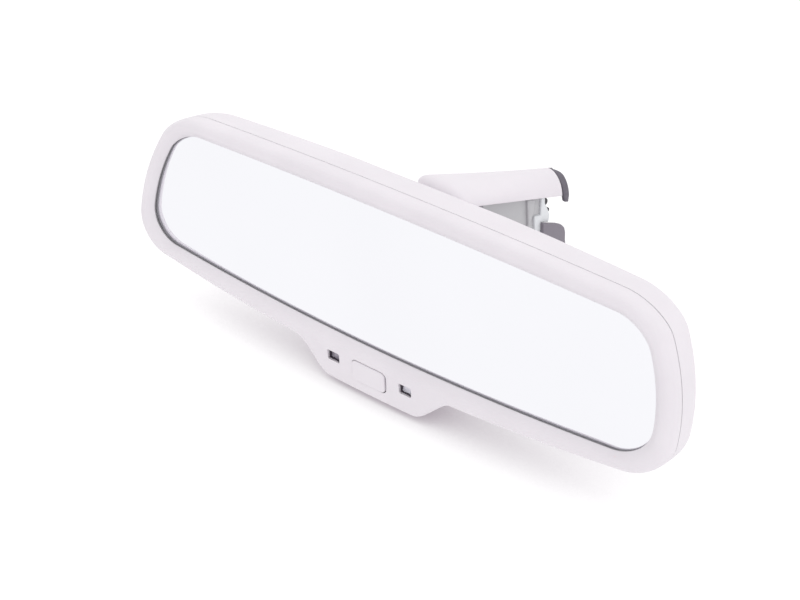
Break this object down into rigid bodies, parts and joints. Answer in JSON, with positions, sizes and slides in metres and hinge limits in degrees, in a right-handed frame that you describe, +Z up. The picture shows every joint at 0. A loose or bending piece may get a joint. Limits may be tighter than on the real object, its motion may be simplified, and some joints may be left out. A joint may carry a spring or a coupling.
{
  "type": "interior rearview mirror",
  "caption": "Self-dimming interior rearview mirror: wide glass in a two-shell head with a button chin, turning on a ball-jointed stem with a windshield clip foot.",
  "frame": {"origin": "on the foot's windshield face, on its centre line, 3 mm below its top edge", "axes": "+Y from the glass to the windshield, +X to the right of a viewer facing the glass, +Z up; the glass faces -Y"},
  "size_m": [0.2545, 0.1069, 0.0834],
  "materials": {
    "shell": "fine-grained satin",
    "button": "fine-grained satin",
    "bracket": "satin",
    "dark": "matte",
    "shoe": "matte",
    "rubber": "matte",
    "glass": "clear polished",
    "mirror": "silvered, polished",
    "gel": "clear gel",
    "clear": "clear polished",
    "metal": "smooth cast",
    "steel": "bright",
    "copper": "plated strip",
    "acetal": "satin",
    "foam": "open-cell foam",
    "board": "solder mask",
    "cable": "matte sleeve"
  },
  "bodies": {
    "stem": {"ball_stud": "metal", "stem_body": "bracket", "stem_cover": "shell", "end_seal": "rubber", "mount_bracket": "bracket", "mount_shoe": "shoe", "leaf_spring": "steel", "shoe_screw_1": "steel", "shoe_screw_2": "steel", "harness_connector": "dark", "stem_cable": "cable"},
    "liner": {"ball_liner": "acetal"},
    "cup": {"socket_cup": "dark"},
    "head": {"bezel": "shell", "rear_housing": "shell", "glass_gasket": "rubber", "glass_front": "glass", "cell_gel": "gel", "glass_rear": "mirror", "bus_clip_top": "copper", "bus_clip_bottom": "copper", "foam_pad": "foam", "carrier_plate": "acetal", "carrier_screw_1": "steel", "carrier_screw_2": "steel", "carrier_screw_3": "steel", "carrier_screw_4": "steel", "circuit_board": "board", "control_chip": "dark", "board_connector": "acetal", "glare_sensor": "dark", "sensor_window": "clear", "status_lamp": "clear", "lamp_window": "clear", "ambient_sensor": "dark", "rear_sensor_window": "clear", "switch_body": "dark", "socket_ring": "shell", "head_cable": "cable", "socket_spring": "steel"},
    "button": {"dimming_button": "button"},
    "plunger": {"switch_plunger": "acetal"}
  },
  "joints": [
    {"name": "mirror_yaw", "type": "hinge", "parent": "stem", "child": "liner", "pos_m": [-0.01645, -0.06599, 0.00011], "axis": [0, 0, 1], "range_deg": [-36, 10]},
    {"name": "mirror_pitch", "type": "hinge", "parent": "liner", "child": "cup", "pos_m": [-0.01645, -0.06599, 0.00011], "axis": [1, 0, 0], "range_deg": [-2, 20]},
    {"name": "mirror_roll", "type": "hinge", "parent": "cup", "child": "head", "pos_m": [-0.01645, -0.06599, 0.00011], "axis": [0, 1, 0], "range_deg": [-7, 7]},
    {"name": "button_press", "type": "slide", "parent": "head", "child": "button", "axis": [0, 1, 0], "range_m": [0, 0.0008], "stiffness_N_per_m": 800},
    {"name": "plunger_press", "type": "slide", "parent": "head", "child": "plunger", "axis": [0, 1, 0], "range_m": [0, 0.0008]}
  ],
  "couplings": [
    {"joint": "plunger_press", "follows": "button_press", "ratio": 1}
  ]
}
